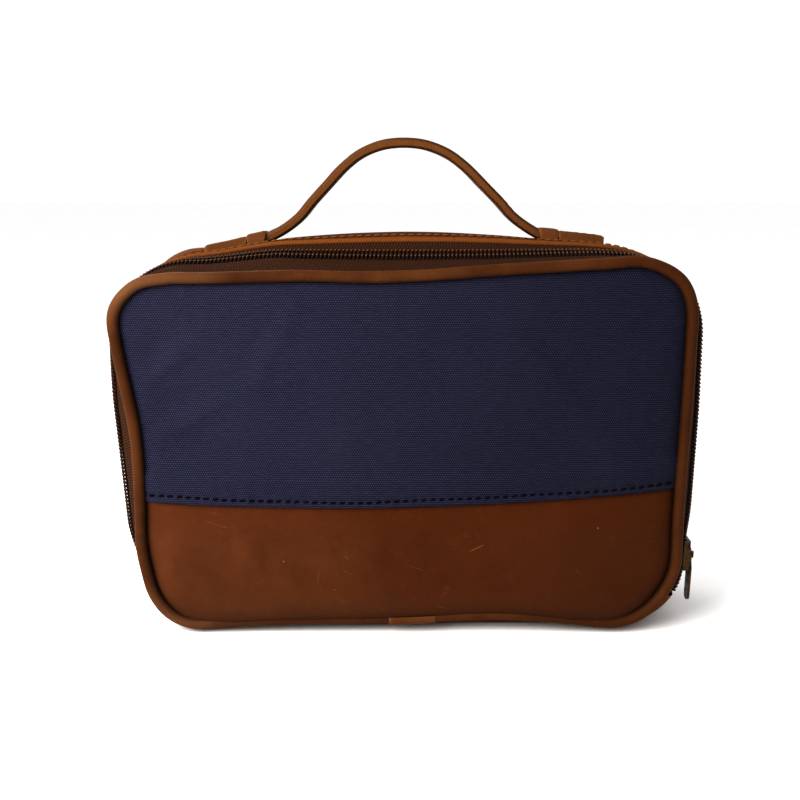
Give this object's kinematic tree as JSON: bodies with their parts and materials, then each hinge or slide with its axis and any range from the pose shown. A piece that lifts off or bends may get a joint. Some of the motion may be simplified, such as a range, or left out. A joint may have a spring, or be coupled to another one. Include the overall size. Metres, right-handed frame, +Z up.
{
  "type": "shaving kit bag",
  "caption": "Soft wash bag with a canvas and leather front, piped edges, a clamshell zip round three sides and an arched leather carrying strap on top.",
  "frame": {"origin": "centre of the base, on the surface the bag stands on", "axes": "+X to the right seen from the front, +Y from the front to the back, +Z up"},
  "size_m": [0.28, 0.0804, 0.231],
  "materials": {
    "canvas": "fine plain weave, dark navy",
    "leather": "pull-up leather, satin, worn",
    "piping": "satin leather cord piping",
    "zip_textile": "dark brown herringbone tape",
    "zip_coil": "dark brown nylon coil",
    "lining": "brown cotton lining",
    "board": "felted stiffener board",
    "strap": "satin leather strap",
    "tab": "tan leather with pale cut edges",
    "metal": "antique brass"
  },
  "bodies": {
    "bag": {"back_canvas_panel": "canvas", "back_leather_panel": "leather", "back_stiffener": "board", "back_lining": "lining", "back_piping": "piping", "back_piping_wrap": "tab", "back_zip_tape": "zip_textile", "back_zip_coil": "zip_coil", "gusset_strip": "leather", "bottom_gusset": "leather", "gusset_lining": "lining", "handle_end_left": "strap", "handle_end_right": "strap", "keeper_left": "tab", "keeper_right": "tab", "handle_tab_left": "tab", "handle_tab_right": "tab"},
    "cover": {"front_canvas_panel": "canvas", "front_leather_panel": "leather", "front_stiffener": "board", "front_lining": "lining", "front_piping": "piping", "front_piping_wrap": "tab", "front_zip_tape": "zip_textile", "front_zip_coil": "zip_coil"},
    "handle": {"handle_grip": "strap", "handle_grip_lining": "strap", "handle_leg_left": "strap", "handle_leg_right": "strap"},
    "slider": {"zip_slider": "metal"},
    "pull": {"zip_pull": "metal"}
  },
  "joints": [
    {"name": "cover_hinge", "type": "hinge", "parent": "bag", "child": "cover", "pos_m": [0, -0.036, 0.0044], "axis": [1, 0, 0], "range_deg": [0, 90]},
    {"name": "handle_lean", "type": "hinge", "parent": "bag", "child": "handle", "pos_m": [0, 0.006, 0.188], "axis": [1, 0, 0], "range_deg": [-50, 50], "stiffness_Nm_per_rad": 0.02, "deforming": ["handle_leg_left", "handle_leg_right"]},
    {"name": "zip_slide", "type": "slide", "parent": "bag", "child": "slider", "axis": [0.0208, 0, 0.9998], "range_m": [0, 0.085]},
    {"name": "pull_swing", "type": "hinge", "parent": "slider", "child": "pull", "pos_m": [0.13881, -0.0195, 0.03393], "axis": [0, -1, 0], "range_deg": [0, 165]}
  ]
}
